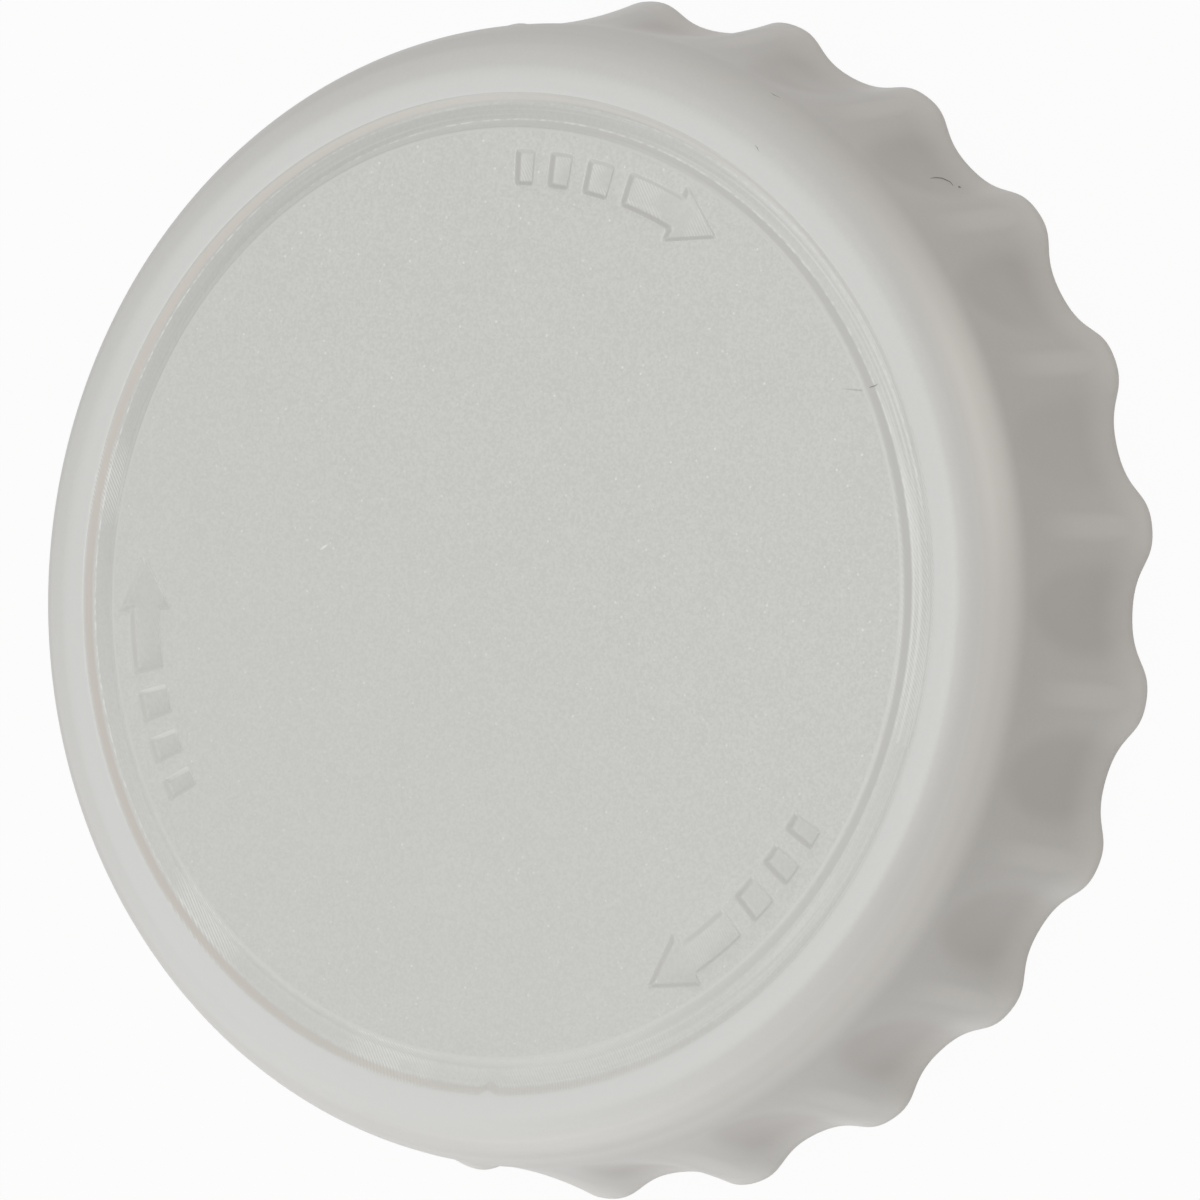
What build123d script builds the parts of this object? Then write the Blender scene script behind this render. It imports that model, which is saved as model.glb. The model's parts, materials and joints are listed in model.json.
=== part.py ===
"""A crown-shaped bottle opener cap, moulded in one piece.

The cap stands on the lower edge of its skirt, with its face up. The origin is
the middle of that edge's plane, +Z is the cap's axis and points out of the
face, and one crest of the fluted skirt lies on +Y. Sizes are in millimetres
and angles in degrees.
"""
from build123d import *
from math import cos, degrees, radians, sin, tan
import os

# The outside
height = 13.4
flat_radius = 27.15  # where the face starts to turn into the shoulder
shoulder_round = 2.9  # the shoulder's radius next to the face
soft_round = 4.5  # and next to the skirt, which it runs into softly
soft_turn = 60.0  # how far the shoulder has turned where its radius changes
edge_break = 0.2  # along the skirt's lower edge, as deep as it is wide

# The flutes: crests and valleys step out on their way down the skirt
flute_count = 22
crest_radius = 32.16  # at the lower edge
valley_radius = 30.81
crest_power = 1.5  # the higher, the nearer the lower edge a line steps out
valley_power = 3.5
crest_fullness = 0.45  # share of a half flute that the crest's curve takes
valley_fullness = 0.62

# The outside is ruled between level outlines
shoulder_bands = 3
soft_bands = 2
skirt_bands = 6

# The walls
face_thickness = 2.2
skirt_wall = 1.9  # where the shoulder meets the skirt
inside_draft = 4.0  # lean of the skirt's plain inside from upright

# The ring groove in the face
groove_radius = 25.48  # the middle of its floor
groove_floor = 0.95
groove_depth = 0.36
groove_draft = 51.0  # lean of its walls from upright

# The marks sunk in the face, each of three dashes and an arrow
mark_count = 3
mark_radius = 22.45  # the circle that their middles follow
mark_tail = 106.05  # where the first mark starts, from +X
mark_width = 1.9  # of the dashes and the arrow's shaft
mark_depth = 0.25
mark_draft = 40.0  # lean of their walls from upright
dash_lengths = (1.18, 1.36, 1.64)
dash_gap = 0.92
shaft_length = 3.3
head_length = 3.0
head_width = 3.4

# The socket inside, whose teeth reach in between the crests of a crown cork
cork_diameter = 32.1  # across the cork's crests
cork_crests = 21
cork_clearance = 0.25
tooth_depth = 0.9
socket_wall = 2.0
socket_recess = 1.2  # from the skirt's lower edge up to the socket's mouth

# The ribs that tie the socket to the skirt
rib_count = 4
rib_thickness = 1.4
rib_recess = 3.4  # from the skirt's lower edge up to the ribs
rib_turn = 45.0  # where the first rib is, from +X

# Worked out from these
rounder = soft_round - shoulder_round
skirt_top = height - shoulder_round - rounder * cos(radians(soft_turn))
skirt_radius = flat_radius + soft_round - rounder * sin(radians(soft_turn))
ceiling = height - face_thickness
half_flute = 180 / flute_count
bore_radius = cork_diameter / 2 + cork_clearance
socket_radius = bore_radius + socket_wall
tooth_length = tooth_depth + socket_wall / 2  # with its root in the wall
inside_top = skirt_radius - skirt_wall - (ceiling - skirt_top) * tan(radians(inside_draft))
inside_mouth = skirt_radius - skirt_wall + skirt_top * tan(radians(inside_draft))


def at(radius, angle, level=0.0):
    """The point at a radius from the axis, an angle from +X and a height."""
    return Vector(radius * cos(radians(angle)), radius * sin(radians(angle)), level)


def outline(crest, valley, level):
    """A closed level line, with one curve for each half of a flute.

    Where its crests and valleys have one radius it is a circle.
    """
    swing = (crest - valley) / (crest_radius - valley_radius)
    even = 4 / 3 * tan(radians(half_flute) / 4)
    crest_pull = crest * (even + swing * radians(half_flute) * (crest_fullness - 1 / 3))
    valley_pull = valley * (even + swing * radians(half_flute) * (valley_fullness - 1 / 3))
    curves = []
    for flute in range(flute_count):
        first = 90 + 2 * half_flute * flute
        middle = first + half_flute
        last = middle + half_flute
        top, low, end = at(crest, first, level), at(valley, middle, level), at(crest, last, level)
        after_top, before_end = at(crest_pull, first + 90), at(crest_pull, last + 90)
        beside_low = at(valley_pull, middle + 90)
        curves.append(Edge.make_bezier(top, top + after_top, low - beside_low, low))
        curves.append(Edge.make_bezier(low, low + beside_low, end - before_end, end))
    return Face(Wire(curves))


def skirt_outline(level, inset=0.0):
    """The skirt's outline at a height, drawn in by an inset."""
    share = 1 - level / skirt_top
    crest = skirt_radius + (crest_radius - skirt_radius) * share**crest_power
    valley = skirt_radius + (valley_radius - skirt_radius) * share**valley_power
    return outline(crest - inset, valley - inset, level)


# The level outlines, from the flat face down to the lower edge
outlines = []
for band in range(shoulder_bands):
    turn = radians(soft_turn * band / shoulder_bands)
    radius = flat_radius + shoulder_round * sin(turn)
    outlines.append(outline(radius, radius, height - shoulder_round * (1 - cos(turn))))
for band in range(soft_bands):
    turn = radians(soft_turn + (90 - soft_turn) * band / soft_bands)
    radius = skirt_radius - soft_round * (1 - sin(turn))
    outlines.append(outline(radius, radius, skirt_top + soft_round * cos(turn)))
for band in range(skirt_bands + 1):
    outlines.append(skirt_outline(skirt_top + (edge_break - skirt_top) * band / skirt_bands))
outlines.append(skirt_outline(0, edge_break))

# The mould's core, which has the form of the hollow under the face
with BuildPart() as core:
    with BuildSketch(Plane.XZ):
        Polygon((0, 0), (inside_mouth, 0), (inside_top, ceiling), (0, ceiling), align=None)
    revolve(axis=Axis.Z)
    # The slot that forms the socket and its teeth
    with BuildSketch(Plane.XY.offset(socket_recess)):
        Circle(socket_radius)
        Circle(bore_radius, mode=Mode.SUBTRACT)
        with PolarLocations(bore_radius - tooth_depth, cork_crests):
            Polygon((0, 0), (tooth_length, -tooth_length), (tooth_length, tooth_length), align=None)
    extrude(amount=ceiling - socket_recess, mode=Mode.SUBTRACT)
    # The slots that form the ribs
    with BuildSketch(Plane.XY.offset(rib_recess)):
        with PolarLocations((socket_radius + inside_mouth) / 2, rib_count, rib_turn):
            Rectangle(inside_mouth - socket_radius + socket_wall, rib_thickness)
    extrude(amount=ceiling - rib_recess, mode=Mode.SUBTRACT)

# One mark, as it shows on the face
with BuildSketch() as mark:
    sweep_per_mm = degrees(1 / mark_radius)
    inner_radius = mark_radius - mark_width / 2
    outer_radius = mark_radius + mark_width / 2
    start = mark_tail
    for length in (*dash_lengths, shaft_length):
        end = start - length * sweep_per_mm
        with BuildLine():
            outer_side = CenterArc((0, 0), outer_radius, start, end - start)
            inner_side = CenterArc((0, 0), inner_radius, start, end - start)
            Line(outer_side @ 0, inner_side @ 0)
            Line(outer_side @ 1, inner_side @ 1)
        make_face()
        start = end - dash_gap * sweep_per_mm
    head_base = at(mark_radius, end)
    with BuildLine():
        Polyline(
            head_base + at(head_width / 2, end),
            head_base + at(head_length, end - 90),
            head_base - at(head_width / 2, end),
            close=True,
        )
    make_face()

with BuildPart() as opener_cap:
    # The shoulder, the skirt and its broken edge
    loft(outlines, ruled=True)
    # The hollow, with the socket and the ribs left standing in it
    add(core.part, mode=Mode.SUBTRACT)
    # The ring groove
    with BuildSketch(Plane.XZ):
        with Locations((groove_radius, height)):
            Trapezoid(
                groove_floor + 2 * groove_depth * tan(radians(groove_draft)),
                groove_depth,
                90 - groove_draft,
                rotation=180,
                align=(Align.CENTER, Align.MIN),
            )
    revolve(axis=Axis.Z, mode=Mode.SUBTRACT)
    # The marks
    with BuildSketch(Plane.XY.offset(height)):
        with PolarLocations(0, mark_count):
            add(mark.sketch)
    extrude(amount=-mark_depth, taper=mark_draft, mode=Mode.SUBTRACT)

opener_cap.part.label = "opener_cap"
os.makedirs("parts", exist_ok=True)
export_step(opener_cap.part, "parts/opener_cap.step")
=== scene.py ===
# %% [markdown]
# # A bottle opener shaped like a big crown cork
#
# The real object is one injection moulding of off-white plastic: a flat face
# with a ring groove and three sunk marks, a round shoulder, and a fluted skirt.
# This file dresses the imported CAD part. It builds a finer skin with the same
# formulas, gives it its spark-eroded finish, and sets up a small studio.

# %% The frame and the tools
import json
from math import cos, pi, radians, sin, tan

import bpy
import numpy as np
from mathutils import Matrix, Vector, geometry

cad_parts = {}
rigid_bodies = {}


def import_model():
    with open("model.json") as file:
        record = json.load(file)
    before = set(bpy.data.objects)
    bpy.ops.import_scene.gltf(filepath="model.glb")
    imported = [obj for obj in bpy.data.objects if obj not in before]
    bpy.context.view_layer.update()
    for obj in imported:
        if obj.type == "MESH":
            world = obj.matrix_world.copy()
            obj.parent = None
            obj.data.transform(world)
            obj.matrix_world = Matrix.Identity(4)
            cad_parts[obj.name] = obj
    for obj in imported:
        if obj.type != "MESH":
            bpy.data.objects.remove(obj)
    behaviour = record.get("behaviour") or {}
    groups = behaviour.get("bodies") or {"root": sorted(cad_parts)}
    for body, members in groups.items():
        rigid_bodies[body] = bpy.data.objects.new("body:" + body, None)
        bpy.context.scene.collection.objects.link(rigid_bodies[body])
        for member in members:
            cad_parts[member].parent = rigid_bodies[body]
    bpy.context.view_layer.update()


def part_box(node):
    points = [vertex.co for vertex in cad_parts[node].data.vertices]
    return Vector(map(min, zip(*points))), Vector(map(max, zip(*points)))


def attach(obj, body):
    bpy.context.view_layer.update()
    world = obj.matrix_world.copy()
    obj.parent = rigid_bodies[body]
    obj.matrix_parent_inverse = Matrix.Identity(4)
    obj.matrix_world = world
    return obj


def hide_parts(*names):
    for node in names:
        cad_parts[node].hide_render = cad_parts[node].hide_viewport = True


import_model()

low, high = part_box("opener_cap")
mm = 0.001
print("CAD box in mm:", [round(side / mm, 2) for side in high - low])

# %% [markdown]
# ## The sizes
#
# The skin has to agree with the solid under it, so its height is read from the
# CAD box. The other sizes are the ones the maker would dimension, in metres and
# radians. One crest lies on +Y.

# %% Sizes of the moulding
height = high.z
flat_radius = 27.15 * mm
shoulder_round = 2.9 * mm
soft_round = 4.5 * mm
soft_turn = radians(60)
edge_round = 0.2 * mm
rounder = soft_round - shoulder_round
skirt_top = height - shoulder_round - rounder * cos(soft_turn)
skirt_radius = flat_radius + soft_round - rounder * sin(soft_turn)

flute_count = 22
half_flute = pi / flute_count
crest_radius = 32.16 * mm
valley_radius = 30.81 * mm
crest_power, valley_power = 1.5, 3.5
crest_fullness, valley_fullness = 0.45, 0.62

face_thickness = 2.2 * mm
skirt_wall = 1.9 * mm
inside_draft = radians(4)
ceiling = height - face_thickness

groove_radius = 25.48 * mm
groove_floor = 0.95 * mm
groove_depth = 0.36 * mm
groove_draft = radians(51)

mark_count = 3
mark_radius = 22.45 * mm
mark_tail = radians(106.05)
mark_width = 1.9 * mm
mark_depth = 0.25 * mm
mark_draft = radians(40)
dash_lengths = [1.18 * mm, 1.36 * mm, 1.64 * mm]
dash_gap = 0.92 * mm
shaft_length = 3.3 * mm
head_length = 3.0 * mm
head_width = 3.4 * mm

# %% [markdown]
# ## Rings of points
#
# The outside could be a subdivided cage, but flutes that fade out upwards are
# easier to hold as a formula. Each ring is a level line round the cap with one
# cubic curve for each half of a flute, and where crest and valley have the same
# radius that line is a circle. All rings have the same number of points, so
# any two neighbours join with plain quads.

# %% Points on circles and curves
steps = 20  # columns in each half of a flute
columns = 2 * flute_count * steps
print("columns round the cap:", columns)


def on_circle(radius, angle):
    """A point, or many, at a radius and an angle, as complex numbers."""
    return radius * np.exp(1j * np.asarray(angle))


def curve(a, b, c, d):
    """Points of cubic curves, one curve for each row of the given columns."""
    t = np.arange(steps) / steps
    return a * (1 - t) ** 3 + 3 * b * t * (1 - t) ** 2 + 3 * c * t**2 * (1 - t) + d * t**3


# %% One ring
def ring(crest, valley, level):
    """The level line with these two radii, as rows of x, y and z."""
    swing = (crest - valley) / (crest_radius - valley_radius)
    even = 4 / 3 * tan(half_flute / 4)
    crest_pull = crest * (even + swing * half_flute * (crest_fullness - 1 / 3))
    valley_pull = valley * (even + swing * half_flute * (valley_fullness - 1 / 3))
    first = pi / 2 + 2 * half_flute * np.arange(flute_count)[:, None]
    middle, last = first + half_flute, first + 2 * half_flute
    top, bottom, end = on_circle(crest, first), on_circle(valley, middle), on_circle(crest, last)
    down = curve(
        top, top + on_circle(crest_pull, first + pi / 2),
        bottom - on_circle(valley_pull, middle + pi / 2), bottom,
    )
    up = curve(
        bottom, bottom + on_circle(valley_pull, middle + pi / 2),
        end - on_circle(crest_pull, last + pi / 2), end,
    )
    line = np.hstack([down, up]).ravel()
    return np.column_stack([line.real, line.imag, np.full(line.size, level)])


def circle(radius, level):
    return ring(radius, radius, level)


# %% [markdown]
# ## From the groove to the lower edge
#
# A small cutter shaped the ridge in the mould that forms the groove, so its walls
# lean and its corners are soft. A short list of corners with their radii is
# enough: each corner becomes a small arc. The same helper rounds the hollow.

# %% A profile with soft corners
def soft_profile(corners, cuts=4):
    """Points of a profile whose corners (radius, level, rounding) are eased."""
    points = [corners[0][:2]]
    for before, corner, after in zip(corners, corners[1:], corners[2:]):
        here = np.array(corner[:2])
        back, ahead = np.array(before[:2]) - here, np.array(after[:2]) - here
        reach = min(corner[2], np.linalg.norm(back) / 2, np.linalg.norm(ahead) / 2)
        start = here + back / np.linalg.norm(back) * reach
        end = here + ahead / np.linalg.norm(ahead) * reach
        for t in np.linspace(0, 1, cuts + 1):
            points.append(tuple(start * (1 - t) ** 2 + 2 * here * t * (1 - t) + end * t**2))
    points.append(corners[-1][:2])
    return points


wall_run = groove_depth * tan(groove_draft)
floor_in, floor_out = groove_radius - groove_floor / 2, groove_radius + groove_floor / 2
groove_edge_in, groove_edge_out = floor_in - wall_run, floor_out + wall_run
margin = 0.35 * mm  # on both sides of the groove
lip_round, corner_round = 0.25 * mm, 0.12 * mm

groove = soft_profile([
    (groove_edge_in - margin, height),
    (groove_edge_in, height, lip_round),
    (floor_in, height - groove_depth, corner_round),
    (floor_out, height - groove_depth, corner_round),
    (groove_edge_out, height, lip_round),
    (groove_edge_out + margin, height),
])
rings = [circle(radius, level) for radius, level in groove]
groove_rings = len(rings)
print("rings in the groove:", groove_rings)

# %% [markdown]
# ## The shoulder and the skirt
#
# The shoulder turns quickly next to the face and more softly next to the skirt,
# so it has two radii. Below it crests and valleys step out at their own pace,
# each as a power of the way down, which is what makes the flutes fade in.

# %% The rings of the shoulder and the skirt
shoulder_cuts, soft_cuts, skirt_cuts, edge_cuts = 12, 8, 21, 4


def skirt_ring(level, rounded=0.0):
    """The skirt's level line; below the rounding's start it is drawn in."""
    share = 1 - max(level, edge_round) / skirt_top
    crest = skirt_radius + (crest_radius - skirt_radius) * share**crest_power
    valley = skirt_radius + (valley_radius - skirt_radius) * share**valley_power
    return ring(crest - rounded, valley - rounded, level)


for turn in np.linspace(0, soft_turn, shoulder_cuts + 1):
    radius = flat_radius + shoulder_round * sin(turn)
    rings.append(circle(radius, height - shoulder_round * (1 - cos(turn))))
for turn in np.linspace(soft_turn, pi / 2, soft_cuts + 1)[1:-1]:
    radius = skirt_radius - soft_round * (1 - sin(turn))
    rings.append(circle(radius, skirt_top + soft_round * cos(turn)))
for level in np.linspace(skirt_top, edge_round, skirt_cuts + 1):
    rings.append(skirt_ring(level))
for turn in np.linspace(0, pi / 2, edge_cuts + 1)[1:]:
    rings.append(skirt_ring(edge_round * (1 - sin(turn)), edge_round * (1 - cos(turn))))
print("rings outside:", len(rings))

# %% [markdown]
# ## The hidden side
#
# Nobody sees the hollow when the cap stands on a table, but a moulding has one
# wall thickness nearly everywhere, so the inside is a plain drafted cone with a
# soft corner under the face.

# %% The hollow
inside_mouth = skirt_radius - skirt_wall + skirt_top * tan(inside_draft)
inside_top = skirt_radius - skirt_wall - (ceiling - skirt_top) * tan(inside_draft)
mouth_round, ceiling_round = 0.15 * mm, 0.9 * mm
hollow = soft_profile([
    (inside_mouth + 2 * mouth_round, 0.0),
    (inside_mouth, 0.0, mouth_round),
    (inside_top, ceiling, ceiling_round),
    (inside_top - 2 * mm, ceiling),
])
rings += [circle(radius, level) for radius, level in hollow]
print("rings with the hollow:", len(rings))

# %% [markdown]
# ## A nick in the groove's outer edge
#
# Close by one arrow a speck of the mould was missing, and there the rim stands
# into the groove by a fifth of a millimetre. Moving a few points of the
# rings that form the outer wall is enough; a boolean would only cost triangles.

# %% The nick
nick_turn = radians(-72.9)
nick_half = 0.5 * mm
nick_depth = 0.2 * mm
outer_limit = groove_edge_out + 0.1 * mm
for number in range(groove_rings):
    x, y = rings[number][:, 0], rings[number][:, 1]
    radius = np.hypot(x, y)
    aside = radius * np.angle(np.exp(1j * (np.arctan2(y, x) - nick_turn)))
    bulge = np.where(abs(aside) < nick_half, np.cos(pi / 2 * aside / nick_half), 0)
    share = np.clip((radius - floor_out + nick_depth) / nick_depth, 0, 1)
    moved = radius - nick_depth * bulge * share * (radius < outer_limit)
    rings[number][:, 0] *= moved / radius
    rings[number][:, 1] *= moved / radius
print("nick in mm:", 2 * nick_half / mm, "wide,", nick_depth / mm, "deep")

# %% [markdown]
# ## The sunk marks
#
# Three dashes and an arrow follow a circle inside the groove, three times round
# the face. A boolean cut would leave razor edges. Instead each mark's outline is
# drawn once, shrunk step by step on its way down, and its corners are eased, so
# light can catch the small slopes as it does on the moulding.

# %% Outlines of one mark
def arc(radius, start, end, parts):
    return list(on_circle(radius, np.linspace(start, end, parts + 1)))


def mark_outlines(turn):
    """Corner lists, counter-clockwise, of the dashes and the arrow."""
    inner, outer = mark_radius - mark_width / 2, mark_radius + mark_width / 2
    outlines, start = [], mark_tail + turn
    for length in dash_lengths:
        end = start - length / mark_radius
        outlines.append(arc(outer, end, start, 4) + arc(inner, start, end, 4))
        start = end - dash_gap / mark_radius
    base = start - shaft_length / mark_radius
    foot, along = on_circle(mark_radius, base), on_circle(1, base - pi / 2)
    across = on_circle(1, base)
    barb = across * head_width / 2
    head = [foot - barb, foot + along * head_length, foot + barb]
    outlines.append(arc(outer, base, start, 8) + arc(inner, start, base, 8) + head)
    return outlines


# %% Shrinking and easing an outline
nearly_straight = radians(20)


def shrunk(outline, amount):
    """The outline with every side moved inwards by an amount."""
    points = np.array(outline)
    sides = np.roll(points, -1) - points
    inwards = 1j * sides / abs(sides)
    before, after = np.roll(inwards, 1), inwards
    return points + amount * (before + after) / (1 + (before * after.conj()).real)


def eased(outline, reach, cuts=4):
    """The outline with its sharp corners turned into small arcs."""
    points, line = np.array(outline), []
    for before, here, after in zip(np.roll(points, 1), points, np.roll(points, -1)):
        back, ahead = before - here, after - here
        if abs(np.angle(-ahead / back)) < nearly_straight:
            line.append(here)
            continue
        start = here + back / abs(back) * min(reach, abs(back) / 2.2)
        end = here + ahead / abs(ahead) * min(reach, abs(ahead) / 2.2)
        for t in np.linspace(0, 1, cuts + 1):
            line.append(start * (1 - t) ** 2 + 2 * here * t * (1 - t) + end * t**2)
    return np.array(line)


# %% The wells
slope_run = mark_depth * tan(mark_draft)
slope_ease = 0.06 * mm
slope_steps = 7
corner_reach = 0.22 * mm


def well(outline):
    """Loops of x, y and z from the face down to the mark's floor."""
    loops = []
    for t in np.linspace(0, 1, slope_steps):
        line = shrunk(outline, slope_run * t + slope_ease * (2 * t - 1))
        line = eased(line, corner_reach)
        level = height - mark_depth * t * t * (3 - 2 * t)
        loops.append(np.column_stack([line.real, line.imag, np.full(line.size, level)]))
    return loops


wells = [well(o) for m in range(mark_count) for o in mark_outlines(-2 * pi * m / mark_count)]
print("sunk outlines:", len(wells))

# %% [markdown]
# ## One skin
#
# All rings and wells go into one mesh, because the real cap is one moulding. The
# flat disc inside the groove is the only part with holes in it; a constrained
# Delaunay triangulation fills it, and as it is flat, its triangles don't show.
# Each face remembers which finish the mould had there.

# %% Joining the rings
ERODED, SATIN, GROOVE, MARK = range(4)
points, faces, finishes = [], [], []


def add_points(rows):
    points.extend(map(tuple, rows))
    return np.arange(len(points) - len(rows), len(points))


def add_band(upper, lower, finish):
    """Quads between two closed lines with equally many points."""
    for a, b, c, d in zip(upper, lower, np.roll(lower, -1), np.roll(upper, -1)):
        faces.append((a, b, c, d))
        finishes.append(finish)


lines = [add_points(rows) for rows in rings]
for number, (upper, lower) in enumerate(zip(lines, lines[1:])):
    mean_radius = (np.hypot(*rings[number][0, :2]) + np.hypot(*rings[number + 1][0, :2])) / 2
    on_floor = number < groove_rings - 1 and groove_edge_in < mean_radius < groove_edge_out
    add_band(upper, lower, GROOVE if on_floor else ERODED if number == 0 else SATIN)

# The ceiling, fanned to its middle
(hub,) = add_points([(0.0, 0.0, ceiling)])
for a, b in zip(lines[-1], np.roll(lines[-1], -1)):
    faces.append((a, hub, b))
    finishes.append(SATIN)
print("faces in the rings:", len(faces))

# %% The wells, with a flat floor in each
well_lines = []
for loops in wells:
    chain = [add_points(rows) for rows in loops]
    for upper, lower in zip(chain, chain[1:]):
        add_band(lower, upper, MARK)
    for triangle in geometry.tessellate_polygon([[Vector(row) for row in loops[-1]]]):
        a, b, c = (Vector(loops[-1][k]) for k in triangle)
        upright = (b - a).cross(c - a).z > 0
        faces.append(tuple(chain[-1][k] for k in (triangle if upright else reversed(triangle))))
        finishes.append(MARK)
    well_lines.append(chain[0])
print("faces in the wells:", finishes.count(MARK))

# %% The disc with its holes
same_point = 1e-7  # metres apart
flat_lines = [lines[0], *well_lines]
flat_points = [Vector(points[k][:2]) for line in flat_lines for k in line]
flat_index = [k for line in flat_lines for k in line]
flat_edges, start = [], 0
for line in flat_lines:
    flat_edges += [(start + k, start + (k + 1) % len(line)) for k in range(len(line))]
    start += len(line)
placed, _, triangles, sources, _, _ = geometry.delaunay_2d_cdt(
    flat_points, flat_edges, [], 0, same_point
)
index_of = {k: flat_index[source[0]] for k, source in enumerate(sources) if source}


def inside(point, outline):
    """Whether a point lies inside a closed line of x and y."""
    x, y = outline[:, 0], outline[:, 1]
    next_x, next_y = np.roll(x, -1), np.roll(y, -1)
    crosses = (y > point[1]) != (next_y > point[1])
    at_x = x + (point[1] - y) / np.where(crosses, next_y - y, 1) * (next_x - x)
    return np.count_nonzero(crosses & (point[0] < at_x)) % 2 == 1


for triangle in triangles:
    middle = sum((placed[k] for k in triangle), Vector((0, 0))) / 3
    if not any(inside(middle, loops[0][:, :2]) for loops in wells):
        faces.append(tuple(index_of[k] for k in triangle))
        finishes.append(ERODED)
print("faces of the disc and its margin:", finishes.count(ERODED))

# %% The piece itself
def make_piece(name, points, faces):
    mesh = bpy.data.meshes.new(name)
    mesh.from_pydata([tuple(p) for p in points], [], [tuple(int(k) for k in f) for f in faces])
    mesh.validate()
    mesh.shade_smooth()
    piece = bpy.data.objects.new(name, mesh)
    bpy.context.scene.collection.objects.link(piece)
    return piece


cap = make_piece("opener_cap_skin", points, faces)
weighting = cap.modifiers.new("flat stays flat", "WEIGHTED_NORMAL")
weighting.weight = 100
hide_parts("opener_cap")
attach(cap, "root")
print("skin:", len(points), "points,", len(faces), "faces")

# %% [markdown]
# ## The socket and its ribs
#
# Turned over, the cap shows what it is for: a round socket whose teeth reach in
# between the crests of a crown cork, and four ribs that carry the twist to the
# skirt. They are drawn as one tube and four plates whose ends sink into the walls.

# %% The socket's outline
bore_radius = 16.3 * mm
socket_wall = 2.0 * mm
socket_radius = bore_radius + socket_wall
tooth_depth = 0.9 * mm
cork_crests = 21
tooth_span = 2 * pi / cork_crests
tooth_angle = tooth_depth / bore_radius
bore_cuts = 6
bore_line = []
for crest in range(cork_crests):
    middle = crest * tooth_span
    bore_line.append((bore_radius - tooth_depth, middle))
    for angle in np.linspace(tooth_angle, tooth_span - tooth_angle, bore_cuts + 1):
        bore_line.append((bore_radius, middle + angle))
bore_line = [on_circle(radius, angle) for radius, angle in bore_line]
outer_line = [socket_radius * p / abs(p) for p in bore_line]
print("points in the socket's outline:", len(bore_line))

# %% The socket
socket_recess = 1.2 * mm
edge_ease = 0.25 * mm
into_wall = 0.5 * mm


def level_rows(line, level):
    return [(p.real, p.imag, level) for p in line]


socket_lines = [
    level_rows([p * (1 - edge_ease / abs(p)) for p in outer_line], socket_recess),
    level_rows(outer_line, socket_recess + edge_ease),
    level_rows(outer_line, ceiling + into_wall),
    level_rows(bore_line, ceiling + into_wall),
    level_rows(bore_line, socket_recess + edge_ease),
    level_rows([p * (1 + edge_ease / abs(p)) for p in bore_line], socket_recess),
]
count = len(bore_line)
socket_faces = []
for row in range(len(socket_lines)):
    upper, lower = row * count, (row + 1) % len(socket_lines) * count
    for k in range(count):
        ahead = (k + 1) % count
        socket_faces.append((upper + k, upper + ahead, lower + ahead, lower + k))
socket = make_piece("cork_socket", sum(socket_lines, []), socket_faces)
socket.data.shade_flat()
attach(socket, "root")
print("socket:", len(socket_faces), "faces")

# %% The ribs
rib_count = 4
rib_thickness = 1.4 * mm
rib_recess = 3.4 * mm
rib_turn = radians(45)
rib_start, rib_end = socket_radius - into_wall, inside_top + into_wall
rib_foot = rib_recess + edge_ease
section = [
    (-rib_thickness / 2, rib_foot), (-rib_thickness / 2 + edge_ease, rib_recess),
    (rib_thickness / 2 - edge_ease, rib_recess), (rib_thickness / 2, rib_foot),
    (rib_thickness / 2, ceiling + into_wall), (-rib_thickness / 2, ceiling + into_wall),
]
for number in range(rib_count):
    turn = rib_turn + 2 * pi * number / rib_count
    rows = []
    for along in (rib_start, rib_end):
        for across, level in section:
            p = (along + 1j * across) * np.exp(1j * turn)
            rows.append((p.real, p.imag, level))
    n = len(section)
    plates = [(k, k + n, (k + 1) % n + n, (k + 1) % n) for k in range(n)]
    plates += [tuple(range(n)), tuple(range(2 * n - 1, n - 1, -1))]
    rib = make_piece(f"rib_{number + 1}", rows, plates)
    rib.data.shade_flat()
    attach(rib, "root")
print("ribs:", rib_count)

# %% [markdown]
# ## The finish
#
# The mould was spark-eroded, which leaves a fine even grain all over the cap.
# Light scatters on it softly, and single grains flash; that flash is painted
# as light cells. A painted texture would blur close up, so the grain is made of
# noise and cells in millimetres. A few helpers keep the node trees short and readable.

# %% Nodes and sums
def node(tree, kind, **settings):
    """A new node; settings whose names are inputs set those, the rest its fields."""
    made = tree.nodes.new(kind)
    for name, value in settings.items():
        if name not in made.inputs:
            setattr(made, name, value)
        elif isinstance(value, bpy.types.NodeSocket):
            tree.links.new(value, made.inputs[name])
        else:
            made.inputs[name].default_value = value
    return made


def maths(tree, operation, *values):
    """The result of a Math node whose inputs are sockets or numbers."""
    made = tree.nodes.new("ShaderNodeMath")
    made.operation = operation
    for number, value in enumerate(values):
        if isinstance(value, bpy.types.NodeSocket):
            tree.links.new(value, made.inputs[number])
        else:
            made.inputs[number].default_value = value
    return made.outputs[0]


def product(tree, first, *others):
    for other in others:
        first = maths(tree, "MULTIPLY", first, other)
    return first


def eased_range(tree, value, start, end, low=0.0, high=1.0):
    """A value mapped smoothly from start and end to low and high."""
    made = node(tree, "ShaderNodeMapRange", interpolation_type="SMOOTHSTEP")
    made.inputs["From Min"].default_value, made.inputs["From Max"].default_value = start, end
    made.inputs["To Min"].default_value, made.inputs["To Max"].default_value = low, high
    tree.links.new(value, made.inputs["Value"])
    return made.outputs[0]


# %% Coordinates and noise
def own_place(tree):
    return node(tree, "ShaderNodeTexCoord").outputs["Object"]


def noise(tree, scale, detail, **settings):
    """Noise in the object's own coordinates, unless the settings hold others."""
    if "Vector" not in settings:
        settings["Vector"] = own_place(tree)
    made = node(tree, "ShaderNodeTexNoise", Scale=scale, Detail=detail, **settings)
    return made.outputs["Fac"]


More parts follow.
